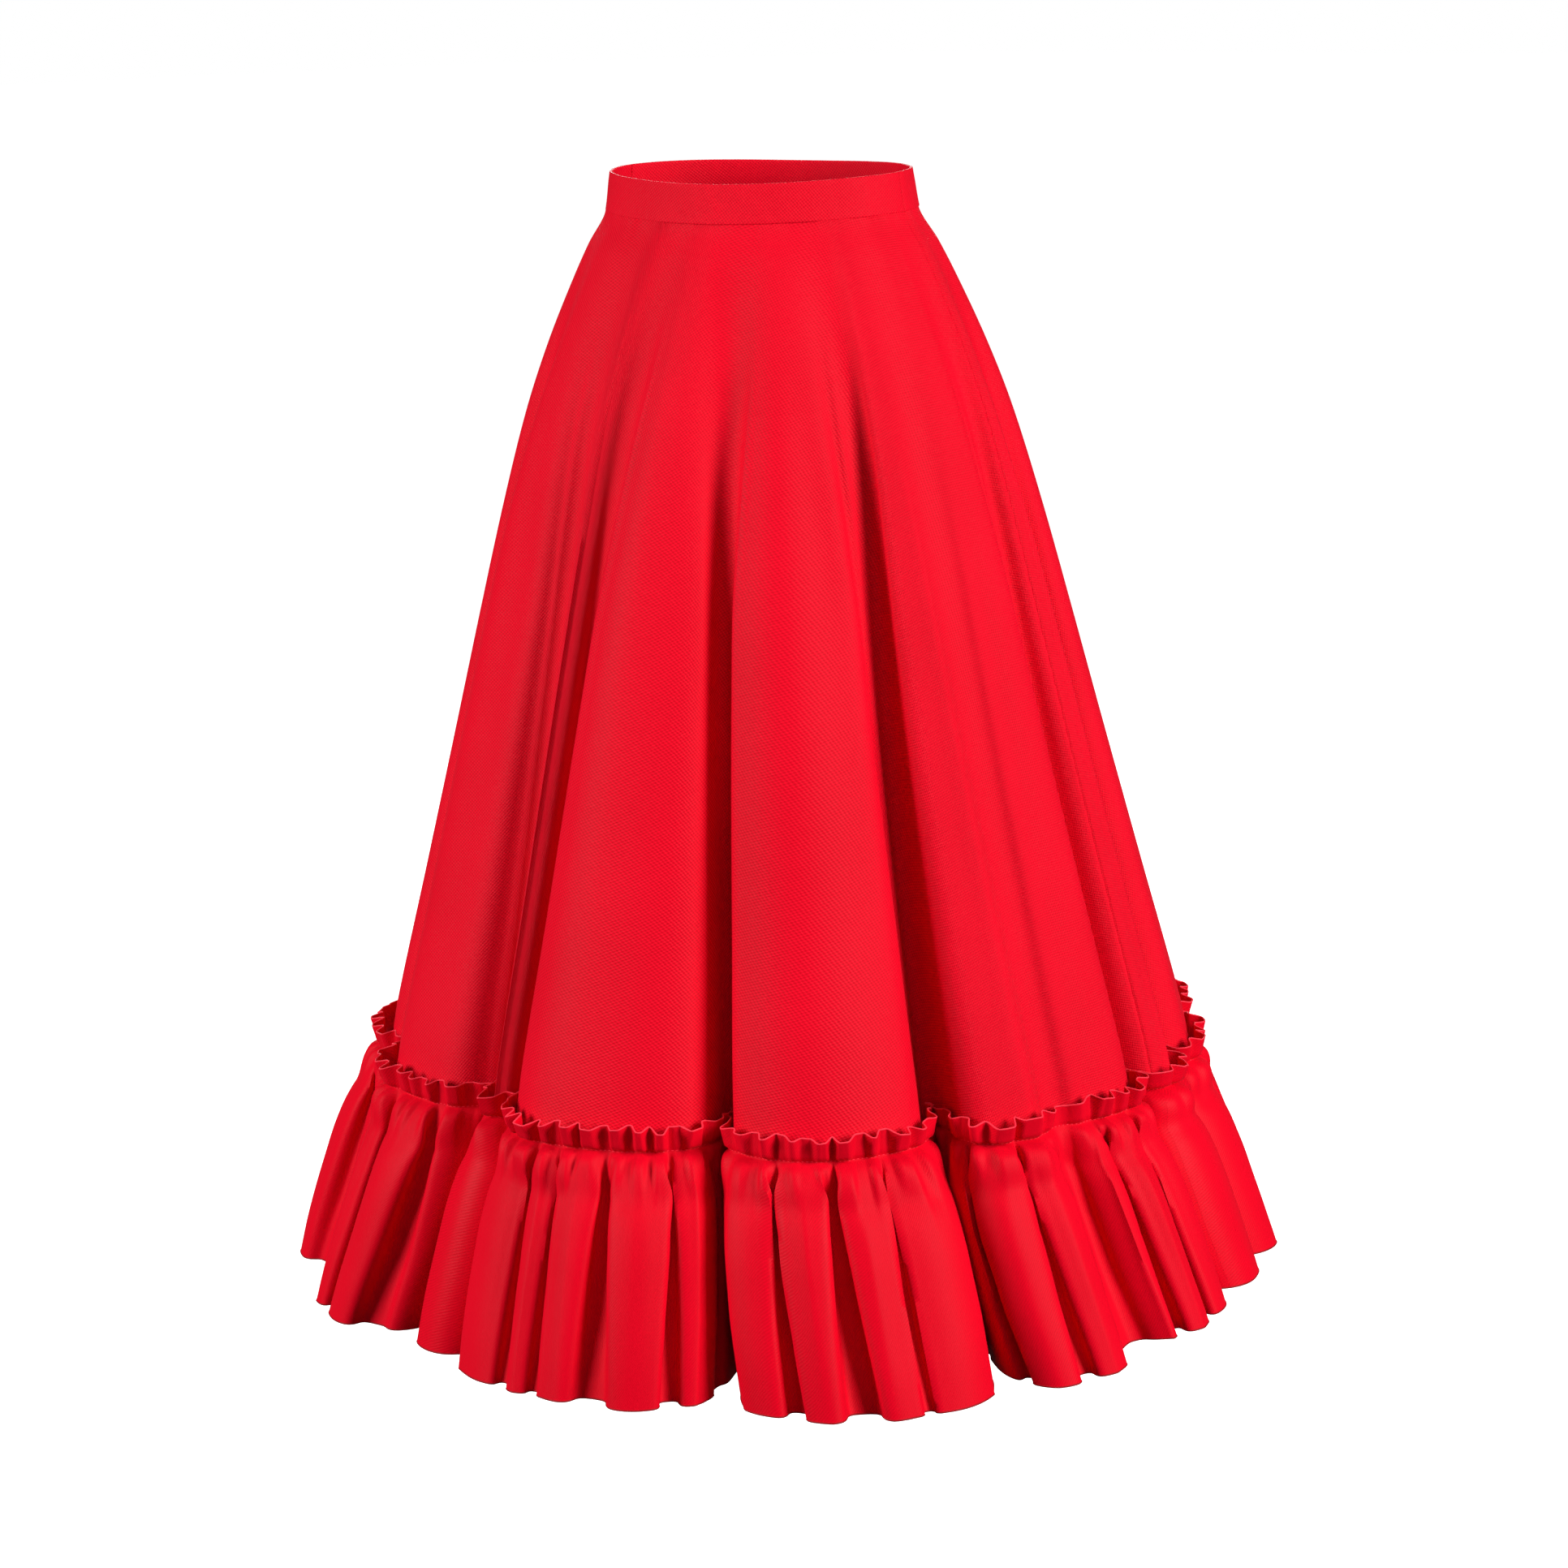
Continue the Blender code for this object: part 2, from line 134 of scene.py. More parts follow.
def foldControls(z, inset=0.0):
    # control points of the folded section at a height
    halfWidth, halfDepth = (size - inset for size in outerForm(z))
    top, bottom, gathers = form["bandBottom"], form["panelBottom"], form["gatherLine"]
    growth = max((top - z) / (top - bottom), 0.0)
    depthGrowth = min(growth, 1.0) + form["flounceDeepening"] * max(growth - 1.0, 0.0)
    sharp = float(smoothStep(growth / form["sharpBy"]))
    meanRadius = (halfWidth + halfDepth) / 2
    downPanel = min(max((top - z) / (top - gathers), 0.0), 1.0)
    downRuffle = max((gathers - z) / (gathers - form["hem"]), 0.0)

    def valleyAt(i):
        turns, row = divmod(i, lobeCount)
        atWaist, atGathers, atHem, depth, mouth, floor = foldRows[row][:6]
        angle = atWaist + (atGathers - atWaist) * downPanel ** form["driftEase"]
        angle += (atHem - atGathers) * downRuffle + 360.0 * turns
        widening = (1 + form["flounceWidening"] * downRuffle) / meanRadius
        return math.radians(angle), depth * depthGrowth, mouth * widening, floor * widening

    points = []
    for i in range(lobeCount):
        start, depth, mouth, floor = valleyAt(i)
        end, nextDepth, nextMouth, nextFloor = valleyAt(i + 1)
        span = end - start
        crest = foldRows[i][6] * depthGrowth
        softMouth = form["waistMouth"] * span * (1 - sharp)
        softFloor = form["waistFloor"] * span * (1 - sharp)
        most = form["mouthLimit"] * span
        mouth, nextMouth = min(mouth * sharp + softMouth, most), min(nextMouth * sharp + softMouth, most)
        floor, nextFloor = min(floor * sharp, most) + softFloor, min(nextFloor * sharp, most) + softFloor
        crown = form["lobeCrown"] * (span - mouth - nextMouth)
        shoulder = form["shoulderDepth"]
        controls = [
            (start + floor, depth),
            (start + mouth, crest + (depth - crest) * shoulder),
            (start + mouth + crown, crest),
            ((start + mouth + end - nextMouth) / 2, crest),
            (end - nextMouth - crown, crest),
            (end - nextMouth, crest + (nextDepth - crest) * shoulder),
            (end - nextFloor, nextDepth),
        ]
        for angle, inward in controls:
            onForm = np.array([halfWidth * math.sin(angle), -halfDepth * math.cos(angle)])
            normal = np.array([halfDepth * math.sin(angle), -halfWidth * math.cos(angle)])
            points.append(onForm - inward * normal / np.linalg.norm(normal))
    return np.array(points)


def splineAt(controls, places):
    # points and outward normals of the closed section at places counted in lobes
    t = np.asarray(places, dtype=float) * form["pointsPerLobe"]
    first = np.floor(t).astype(int)
    f = (t - first)[:, None]
    a, b, c, d = (controls[(first + k) % len(controls)] for k in (-1, 0, 1, 2))
    point = ((1 - f) ** 3 * a + (3 * f**3 - 6 * f**2 + 4) * b + (-3 * f**3 + 3 * f**2 + 3 * f + 1) * c
             + f**3 * d) / 6
    slope = (-(1 - f) ** 2 * a + (3 * f**2 - 4 * f) * b + (-3 * f**2 + 2 * f + 1) * c + f**2 * d) / 2
    normal = np.stack([slope[:, 1], -slope[:, 0]], axis=1)
    return point, normal / np.linalg.norm(normal, axis=1)[:, None]


def heightsOf(points, z):
    share = np.abs(points[:, 0]) / np.maximum(np.linalg.norm(points, axis=1), 1e-9)
    fade = 1.0 - smoothStep((form["bandBottom"] - z) / form["sideRiseFades"])
    return z + form["sideRise"] * (share**2 - 0.5) * fade


def inCleft(places):
    part = (places - form["cleftCentre"]) % 1.0
    return np.clip(1.0 - np.minimum(part, 1.0 - part) / form["cleftReach"], 0.0, 1.0) ** 0.5


def hemShare(places):
    (grows, full), (fades, gone) = form["riseGrows"], form["riseFades"]
    return smoothStep((places - grows) / (full - grows)) * (1 - smoothStep((places - fades) / (gone - fades)))


def softNoise(x, seed, period=None):
    # smooth noise of one value, from -1 to 1, one knot to each whole number
    knots = 4096
    values = np.random.default_rng(seed).uniform(-1, 1, knots)
    whole = np.floor(x).astype(int)
    part = x - whole
    ease = part * part * (3 - 2 * part)
    wrap = period or knots
    return values[whole % wrap] * (1 - ease) + values[(whole + 1) % wrap] * ease


def seamSteps(first, last, inner, z, steps):
    # places from seam to seam, with extra columns close to each seam at these distances in metres
    reach, clearance = 0.002, 0.4

    def speedAt(place):
        pair, _ = splineAt(foldControls(z), np.array([place - reach, place + reach]))
        return np.linalg.norm(pair[1] - pair[0]) / (2 * reach)

    near = [first + s / speedAt(first) for s in steps]
    far = [last - s / speedAt(last) for s in steps]
    spacing = np.median(np.diff(inner))
    kept = inner[(inner > near[-1] + clearance * spacing) & (inner < far[-1] - clearance * spacing)]
    return np.concatenate([near, kept, far[::-1]])


def runLength(points):
    # distance along a line of points, from its first point to each
    return np.cumsum(np.r_[0, np.linalg.norm(np.diff(points, axis=0), axis=1)])


def seamDistance(points):
    # distance along a section from each point to the nearer side seam
    return np.minimum(runLength(points), runLength(points[::-1])[::-1])


def evenPlaces(first, last, columns):
    # places from seam to seam, with so many columns to each lobe
    return np.arange(math.floor(first * columns), math.ceil(last * columns)) / columns


def placed(name, data):
    thing = bpy.data.objects.new(name, data)
    bpy.context.scene.collection.objects.link(thing)
    return thing


def clothShell(name, grid, uv, thickness, material):
    # a closed shell of cloth from a grid of points on its middle surface, rows from the top down
    rows, columns = grid.shape[:2]
    across = np.empty_like(grid)
    across[:, 1:-1] = grid[:, 2:] - grid[:, :-2]
    across[:, 0], across[:, -1] = grid[:, 1] - grid[:, 0], grid[:, -1] - grid[:, -2]
    down = np.empty_like(grid)
    down[1:-1] = grid[2:] - grid[:-2]
    down[0], down[-1] = grid[1] - grid[0], grid[-1] - grid[-2]
    normal = np.cross(down, across)
    normal /= np.maximum(np.linalg.norm(normal, axis=2), 1e-12)[:, :, None]
    half = thickness / 2
    if np.ndim(half):
        half = half[:, :, None]
    points = np.concatenate([(grid + normal * half).reshape(-1, 3), (grid - normal * half).reshape(-1, 3)])
    index = np.arange(rows * columns).reshape(rows, columns)
    a, b, c, d = index[:-1, :-1], index[:-1, 1:], index[1:, 1:], index[1:, :-1]
    outer = np.stack([a, d, c, b], axis=2).reshape(-1, 4)
    inner = outer[:, ::-1] + rows * columns
    far = rows * columns

    def rim(line):
        line = np.asarray(line)
        return np.stack([line[:-1], line[1:], line[1:] + far, line[:-1] + far], axis=1)

    around = np.concatenate([index[0], index[1:, -1], index[-1, -2::-1], index[-2:0:-1, 0], index[0, :1]])
    faces = np.concatenate([outer, inner, rim(around)])
    mesh = bpy.data.meshes.new(name)
    mesh.from_pydata(points.tolist(), [], faces.tolist())
    layer = mesh.uv_layers.new(name="cut")
    corners = np.empty(len(mesh.loops), dtype=np.int32)
    mesh.loops.foreach_get("vertex_index", corners)
    flat = np.concatenate([uv.reshape(-1, 2)] * 2)[corners]
    layer.data.foreach_set("uv", flat.astype(np.float32).ravel())
    mesh.shade_smooth()
    mesh.set_sharp_from_angle(angle=math.radians(form["sharpCorner"]))
    mesh.materials.append(material)
    return placed(name, mesh)


def sheetArea(grid):
    across = grid[:-1, 1:] - grid[:-1, :-1]
    down = grid[1:, :-1] - grid[:-1, :-1]
    return float(np.linalg.norm(np.cross(across, down), axis=2).sum())


halves = {
    "front": (form["rightSeam"], form["leftSeam"]),
    "back": (form["leftSeam"], form["rightSeam"] + lobeCount),
}


# Cloth finishes
twillLook = {
    "bright": (0.88, 0.0020, 0.021, 1.0),
    "dark": (0.56, 0.0010, 0.010, 1.0),
    "pitch": 0.0028,            # two dots of the weave, across and down
    "turn": 8.0,
    "thread": 0.00052,
    "bump": 0.00040,
    "roughness": 0.42,
    "sheen": 0.08,
    "specular": 0.07,
    "sheenRoughness": 0.36,
    "sheenTint": (1.0, 0.34, 0.40, 1.0),
}
crepeLook = {
    "bright": (0.78, 0.0010, 0.016, 1.0),
    "dark": (0.55, 0.0009, 0.009, 1.0),
    "pitch": 0.0016,
    "turn": 38.0,
    "thread": 0.00048,
    "bump": 0.00017,
    "roughness": 0.46,
    "sheen": 0.05,
    "specular": 0.05,
    "sheenRoughness": 0.40,
    "sheenTint": (1.0, 0.26, 0.30, 1.0),
}
edgeLook = {
    "header": ((1.0, 0.045, 0.085, 1.0), (0.80, 0.010, 0.030, 1.0)),
    "hem": ((0.42, 0.001, 0.006, 1.0), (0.24, 0.0005, 0.003, 1.0)),
    "twist": 900.0,
    "bump": 0.0001,
    "relief": 0.6,
    "roughness": 0.55,
    "sheen": 0.20,
    "specular": 0.15,
    "sheenRoughness": 0.5,
    "sheenTint": (1.0, 0.30, 0.34, 1.0),
}
# what the two cloths share: how their patterns are mixed into colour and relief
grainMix = {
    "wobble": 260.0,            # the weave's unevenness: how fine it is and how far it shifts the weave
    "shift": 0.8,
    "ribs": 0.22,
    "crinkle": 0.75,
    "fineThreads": 0.12,
    "clouds": 9.0,              # broad pale and dark areas
    "cloudShare": 0.5,
    "cloudShift": -0.18,
    "weaveShare": 0.85,
    "smoothing": 0.08,          # raised threads are this much smoother
    "relief": 0.8,
}


class nodeSheet:
    # short calls for building one node tree; an input is a value or another node's output
    def __init__(self, tree):
        self.tree = tree

    def add(self, kind, inputs=None, **settings):
        node = self.tree.nodes.new(kind)
        for key, value in settings.items():
            setattr(node, key, value)
        for key, value in (inputs or {}).items():
            if isinstance(value, bpy.types.NodeSocket):
                self.link(value, node.inputs[key])
            else:
                node.inputs[key].default_value = value
        return node

    def link(self, source, target):
        self.tree.links.new(source, target)

    def math(self, operation, *values):
        return self.add("ShaderNodeMath", dict(enumerate(values)), operation=operation).outputs[0]

    def noise(self, place, scale, detail):
        inputs = {"Vector": place, "Scale": scale, "Detail": detail}
        return self.add("ShaderNodeTexNoise", inputs).outputs["Fac"]


def startFinish(name, look):
    material = bpy.data.materials.new(name)
    material.use_nodes = True
    material.node_tree.nodes.clear()
    s = nodeSheet(material.node_tree)
    shader = s.add("ShaderNodeBsdfPrincipled", {
        "Roughness": look["roughness"], "Specular IOR Level": look["specular"], "Sheen Weight": look["sheen"],
        "Sheen Roughness": look["sheenRoughness"], "Sheen Tint": look["sheenTint"],
    })
    s.add("ShaderNodeOutputMaterial", {"Surface": shader.outputs[0]})
    return material, s, shader


def endFinish(s, shader, shade, dark, bright, height, relief, depth):
    tone = s.add("ShaderNodeMix", {6: dark, 7: bright, 0: shade}, data_type="RGBA", clamp_factor=True)
    bump = s.add("ShaderNodeBump", {"Strength": relief, "Distance": depth, "Height": height})
    s.link(tone.outputs[2], shader.inputs["Base Color"])
    s.link(bump.outputs[0], shader.inputs["Normal"])


def wovenCloth(name, look, grain):
    material, s, shader = startFinish(name, look)
    cut = s.add("ShaderNodeUVMap", uv_map="cut").outputs[0]

    def lattice(pitch, turn=0.0):
        inputs = {"Vector": cut, "Rotation": (0, 0, math.radians(turn)), "Scale": (2 * math.pi / pitch,) * 3}
        turned = s.add("ShaderNodeMapping", inputs)
        return s.add("ShaderNodeSeparateXYZ", {0: turned.outputs[0]}).outputs[:2]

    shift = grainMix["shift"]
    wobble = s.math("MULTIPLY_ADD", s.noise(cut, grainMix["wobble"], 2.0), 2 * shift, -shift)
    along, over = (s.math("SINE", s.math("ADD", part, wobble)) for part in lattice(look["pitch"], look["turn"]))
    if grain == "dots":
        weave = s.math("MULTIPLY_ADD", s.math("MULTIPLY", along, over), 0.5, 0.5)
    else:
        ribs = s.math("MULTIPLY_ADD", along, grainMix["ribs"], grainMix["ribs"])
        crinkle = s.noise(cut, 1.0 / look["pitch"], 3.0)
        weave = s.math("ADD", ribs, s.math("MULTIPLY", crinkle, grainMix["crinkle"]))
    warp, weft = (s.math("SINE", part) for part in lattice(look["thread"]))
    height = s.math("MULTIPLY_ADD", s.math("MULTIPLY", warp, weft), grainMix["fineThreads"], weave)
    clouds = s.noise(cut, grainMix["clouds"], 4.0)
    shade = s.math("ADD", s.math("MULTIPLY", weave, grainMix["weaveShare"]),
                   s.math("MULTIPLY_ADD", clouds, grainMix["cloudShare"], grainMix["cloudShift"]))
    smoothing = grainMix["smoothing"]
    rough = s.math("MULTIPLY_ADD", weave, -smoothing, look["roughness"] + smoothing / 2)
    s.link(rough, shader.inputs["Roughness"])
    endFinish(s, shader, shade, look["dark"], look["bright"], height, grainMix["relief"], look["bump"])
    return material


def threadFinish(name, look, colours):
    material, s, shader = startFinish(name, look)
    strands = s.noise(s.add("ShaderNodeTexCoord").outputs["Object"], look["twist"], 2.0)
    bright, dark = colours
    endFinish(s, shader, strands, dark, bright, strands, look["relief"], look["bump"])
    return material


twillCloth = wovenCloth("twillCloth", twillLook, "dots")
crepeCloth = wovenCloth("crepeCloth", crepeLook, "crinkle")
headerThread = threadFinish("headerThread", edgeLook, edgeLook["header"])
hemThread = threadFinish("hemThread", edgeLook, edgeLook["hem"])
print("cloth finishes made")


# Skirt panels: two quarter circles, cut with the grain down the centre of each
panel = {
    "rows": 110,
    "upperRows": 12,            # of them, closer together down to this height
    "upperBottom": -0.045,
    "columns": 36,              # to each lobe
    "crowding": 0.40,           # how much closer the columns stand in the clefts
    "seamColumns": (0.0001, 0.0006, 0.0012, 0.0020, 0.0032, 0.0055),
    "seamHeight": -0.45,        # where those distances are taken
    "thickness": 0.0009,
    "cutRadius": 0.2273,
    "cutAngle": 90.0,
    "topHeight": -0.0149,
    "seamDip": 0.0011,          # the cloth turns in at the side seams
    "seamWidth": 0.0013,
    "pucker": 0.00035,
    "puckerPitch": 0.017,
    "puckerAway": 0.006,        # from the seam
    "puckerSeeds": {"front": 31, "back": 37},
    "easing": 0.0004,           # the cloth eased into the waistband
    "easingFades": 0.010,
    "easingWaves": 9,           # to each lobe
    "easingSeed": 41,
    "creaseSize": 1.25,
    "creaseTop": 0.45,          # a crease's width at the waist, in parts of that at the gathers
}
# Creases, listed one by one: place at the waist and at the gathers in lobes, height where each starts and where
# it is full, half width at the gathers, rise (a trough is negative), share of its width on the steep side
creaseRows = [
    (3.16, 3.13, -0.05, -0.20, 0.009, 0.0028, 0.25),
    (3.34, 3.30, -0.07, -0.30, 0.024, 0.0026, 0.5),
    (3.62, 3.60, -0.08, -0.34, 0.030, -0.0040, 0.5),
    (3.84, 3.82, -0.05, -0.25, 0.016, 0.0022, 0.4),
    (4.16, 4.15, -0.06, -0.24, 0.009, 0.0026, 0.25),
    (4.36, 4.40, -0.09, -0.32, 0.020, 0.0016, 0.5),
    (4.56, 4.60, -0.06, -0.26, 0.022, -0.0042, 0.5),
    (4.86, 4.85, -0.07, -0.22, 0.009, 0.0032, 0.75),
    (5.10, 5.08, -0.08, -0.22, 0.018, -0.0030, 0.5),
    (5.62, 5.60, -0.14, -0.38, 0.014, 0.0026, 0.4),
    (6.30, 6.26, -0.16, -0.38, 0.020, -0.0022, 0.5),
    (6.86, 6.85, -0.10, -0.26, 0.008, 0.0030, 0.7),
    (7.45, 7.50, -0.12, -0.30, 0.008, 0.0026, 0.6),
    (1.30, 1.34, -0.06, -0.26, 0.020, 0.0028, 0.5),
    (1.52, 1.56, -0.10, -0.34, 0.022, -0.0034, 0.5),
    (1.84, 1.84, -0.06, -0.24, 0.010, 0.0030, 0.7),
    (2.40, 2.42, -0.05, -0.22, 0.009, 0.0032, 0.4),
    (0.45, 0.48, -0.10, -0.36, 0.018, -0.0026, 0.5),
    (8.48, 8.45, -0.12, -0.40, 0.018, -0.0024, 0.5),
    (9.40, 9.44, -0.09, -0.36, 0.016, 0.0022, 0.5),
    (9.66, 9.62, -0.14, -0.42, 0.014, -0.0020, 0.4),
    (10.52, 10.48, -0.10, -0.38, 0.020, -0.0028, 0.5),
    (11.36, 11.40, -0.12, -0.42, 0.016, 0.0020, 0.5),
    (11.64, 11.66, -0.08, -0.34, 0.014, -0.0018, 0.5),
    (12.46, 12.50, -0.14, -0.40, 0.020, -0.0028, 0.5),
    (13.40, 13.36, -0.10, -0.36, 0.016, 0.0022, 0.5),
    (13.62, 13.64, -0.16, -0.44, 0.014, -0.0020, 0.4),
    (14.42, 14.46, -0.09, -0.35, 0.020, -0.0026, 0.5),
]


def creaseLift(places, z, radius):
    # how far the listed creases stand out, in metres, at one height
    lift = np.zeros_like(places)
    down = np.clip((form["bandBottom"] - z) / (form["bandBottom"] - form["gatherLine"]), 0, 1)
    for atWaist, atGathers, starts, full, halfWidth, rise, steep in creaseRows:
        grown = smoothStep((starts - z) / (starts - full))
        if grown <= 0:
            continue
        centre = atWaist + (atGathers - atWaist) * down
        apart = (places - centre + lobeCount / 2) % lobeCount - lobeCount / 2
        metres = apart * 2 * math.pi * radius / lobeCount
        width = halfWidth * (panel["creaseTop"] + (1 - panel["creaseTop"]) * down)
        width = np.where(metres > 0, width * 2 * steep, width * 2 * (1 - steep))
        lift += panel["creaseSize"] * rise * grown * np.exp(-((metres / width) ** 2) * 2)
    return lift


def makePanels():
    upper, height = panel["upperRows"], panel["upperBottom"]
    zRows = np.concatenate([
        np.linspace(panel["topHeight"], height, upper, endpoint=False),
        np.linspace(height, form["panelBottom"], panel["rows"] - upper),
    ])
    sections = [(z, foldControls(z)) for z in zRows]
    downCloth = runLength(np.array([[np.mean(outerForm(z)), z] for z in zRows]))
    made = {}
    for half, (first, last) in halves.items():
        inner = evenPlaces(first, last, panel["columns"])
        inner = inner - panel["crowding"] * np.sin(2 * math.pi * inner) / (2 * math.pi)
        places = seamSteps(first, last, inner, panel["seamHeight"], panel["seamColumns"])
        share = (places - first) / (last - first)
        grid = np.empty((len(zRows), len(places), 3))
        for k, (z, controls) in enumerate(sections):
            points, normal = splineAt(controls, places)
            radius = float(np.mean(outerForm(z)))
            away = seamDistance(points)
            out = creaseLift(places, z, radius)
            out -= panel["seamDip"] * np.exp(-((away / panel["seamWidth"]) ** 2))
            ripple = softNoise(np.array([z / panel["puckerPitch"] + 60]), panel["puckerSeeds"][half])[0]
            out += panel["pucker"] * ripple * np.exp(-((away / panel["puckerAway"] - 1) ** 2))
            under = math.exp(-max(form["bandBottom"] - z, 0.0) / panel["easingFades"])
            waves = panel["easingWaves"]
            eased = softNoise(places * waves + 40, panel["easingSeed"], waves * lobeCount)
            out += panel["easing"] * under * eased
            points = points + normal * out[:, None]
            grid[k, :, :2] = points
            grid[k, :, 2] = heightsOf(points, z)
        turn = math.radians(panel["cutAngle"]) * (share - 0.5)
        radii = (panel["cutRadius"] + downCloth)[:, None]
        uv = np.stack([radii * np.sin(turn)[None, :], -radii * np.cos(turn)[None, :]], axis=2)
        piece = clothShell("panel_" + half, grid, uv, panel["thickness"], twillCloth)
        outerRadius = panel["cutRadius"] + downCloth[-1]
        chord = 2 * outerRadius * math.sin(math.radians(panel["cutAngle"] / 2))
        drop = outerRadius - panel["cutRadius"] * math.cos(math.radians(panel["cutAngle"] / 2))
        area = math.radians(panel["cutAngle"]) / 2 * (outerRadius**2 - panel["cutRadius"] ** 2)
        print(f"panel_{half}: cloth {sheetArea(grid):.3f} m2, cut {area:.3f} m2, {chord:.3f} x {drop:.3f}")
        made[half] = {"piece": piece, "flat": (chord, drop), "area": area}
    return made


# Waistband: a doubled strip with a turned top edge
band = {
    "thickness": 0.0023,
    "round": 0.0010,            # how round its two edges are
    "columns": 22,              # to each lobe
    "flatRows": 9,
    "edgeRows": 5,
    "edgeClear": 0.002,         # of the flat rows from the round edges
    "seamColumns": (0.0001, 0.0003, 0.0006, 0.0010, 0.0016, 0.0028),
    "swell": 0.00025,           # the doubled cloth stands a little proud along its middle
    "seamRound": 0.0012,
    "seamShare": 0.25,          # of the thickness that is left at a seam's edge
    "leastHalf": 0.0002,
    "wave": 0.00035,
    "ripple": 0.0002,
    "waves": 2.3,               # to each lobe
    "ripples": 6.1,
    "rippleSlant": 90.0,
    "waveSeed": 53,
    "rippleSeed": 59,
}


def makeBand():
    half, edge = band["thickness"] / 2, band["round"]
    top, bottom = form["bandTop"], form["bandBottom"]
    turns = np.linspace(0, math.pi / 2, band["edgeRows"])
    clear = edge + band["edgeClear"]
    heights = [top - edge * (1 - math.cos(a)) for a in turns]
    heights += list(np.linspace(top - clear, bottom + clear, band["flatRows"]))
    heights += [bottom + edge * (1 - math.cos(a)) for a in turns[::-1]]

    def halfWall(z):
        # half the wall's thickness at a height: round at both edges
        into = min(top - z, z - bottom)
        corner = half if into >= edge else half - edge + math.sqrt(max(edge**2 - (edge - into) ** 2, 0.0))
        middle = 1 - ((z - (top + bottom) / 2) / (top - bottom) * 2) ** 2
        return max(corner, band["leastHalf"]) + band["swell"] * max(middle, 0.0) / 2

    made = {}
    for side, (first, last) in halves.items():
        places = seamSteps(first, last, evenPlaces(first, last, band["columns"]), 0.0, band["seamColumns"])
        grid = np.empty((len(heights), len(places), 3))
        wall = np.empty((len(heights), len(places)))
        for k, z in enumerate(heights):
            points, normal = splineAt(foldControls(z), places)
            away = seamDistance(points)
            near = np.clip(away / band["seamRound"], 0, 1)
            taper = band["seamShare"] + (1 - band["seamShare"]) * np.sqrt(1 - (1 - near) ** 2)
            wave = band["wave"] * softNoise(places * band["waves"] + 17, band["waveSeed"])
            ripples = places * band["ripples"] + z * band["rippleSlant"]
            wave += band["ripple"] * softNoise(ripples + 9, band["rippleSeed"])
            points = points + normal * wave[:, None]
            grid[k, :, :2] = points
            grid[k, :, 2] = heightsOf(points, z)
            wall[k] = 2 * halfWall(z) * taper
        along = runLength(grid[len(heights) // 2])
        uv = np.stack([np.broadcast_to(along, grid.shape[:2]),
                       np.broadcast_to(np.array(heights)[:, None], grid.shape[:2])], axis=2)
        piece = clothShell("band_" + side, grid, uv, wall, twillCloth)
        print(f"band_{side}: {along[-1]:.3f} x {top - bottom:.3f}")
        made[side] = {"piece": piece, "flat": (float(along[-1]), top - bottom)}
    return made


# Ruffle: a strip gathered on one line, its header standing above it
ruffle = {
    "columns": 36,              # to each fold
    "thickness": 0.0007,
    "seamGap": 0.0001,          # in lobes
    "waveWidth": 0.0190,        # of one wave of the header, a forward stretch and a pinched one
    "forwardShare": 0.58,
    "stepWidth": 0.11,          # of the quick turns between them, in parts of a wave
    "seed": 7,
    "swing": 0.38,
    "cleftDamping": 0.92,
    "gatherDamping": 0.80,
    "cleftClearance": 0.0018,
    "standOff": 0.0021,
    "headerLean": 0.0010,
    "crestRound": 0.34,         # a crest of the flounce is this much lower beside its troughs
    "stitchPull": 0.82,         # share of the wave that the gathering thread draws in
    "stitchReach": 0.0026,
    "creaseFades": 0.030,       # the panel's creases run on into the ruffle this far
    "headerUneven": 0.0022,     # up and down
    "pinchedHigher": 0.0034,    # the header's pinched stretches stand this much higher
    "hemUneven": 0.0018,
    "pinchReach": 0.026,        # how far the gathers run down
    "insetAbove": 0.002,        # the folds start to dip in this far above the panel's edge
    "insetReach": 0.030,        # and dip in by their full depth from here on
    "troughTop": 0.62,          # a trough's width at the gathers and how much wider it is at the hem
    "troughOpening": 0.62,
    "overhang": 0.0022,         # a forward stretch laps over the pinched ones beside it
    "overhangBelow": 0.35,      # this much of it goes on below the gathers
    "lapReach": 1.6,            # in widths of a turn
    "foldLap": 0.0058,          # and a crest of the flounce over its troughs
    "foldLapStarts": 0.03,      # it is full this far below the gathers and eases by this share to the hem
    "foldLapEases": 0.45,
    # where a trough's sides lap over it and are drawn back: place and width in half widths, share
    "lapShape": ((1.25, 0.42, 1.0), (0.62, 0.3, -0.6)),
    "troughSquareness": 3.2,
    "crestReach": 0.30,
    "leastStandOff": 0.0012,
    "leastWaves": 3,            # of the header, on each lobe
    # drawn by chance, lowest and highest: a trough's half width, depth and drift, a stretch's ends and levels
    "troughWidth": (0.10, 0.24),
    "troughDepth": (0.55, 1.15),
    "troughDrift": (-0.12, 0.12),
    "startDrift": (-0.22, 0.22),
    "endDrift": (-0.20, 0.20),
    "forwardLevel": (0.70, 1.00),
    "pinchedLevel": (0.00, 0.30),
    "pinchLength": (0.45, 1.95),
    "headerNoise": (0.7, 71),   # pitch in waves and seed
    "hemNoise": (0.9, 73),      # pitch in folds and seed
    "headerRows": 8,
    "lineRows": (0.0004, 0.0013, 0.0026),
    "lineEdge": 0.004,
    "flounceRows": 38,
    "rowsWiden": 1.25,
    "seamClear": 0.004,         # in lobes
}
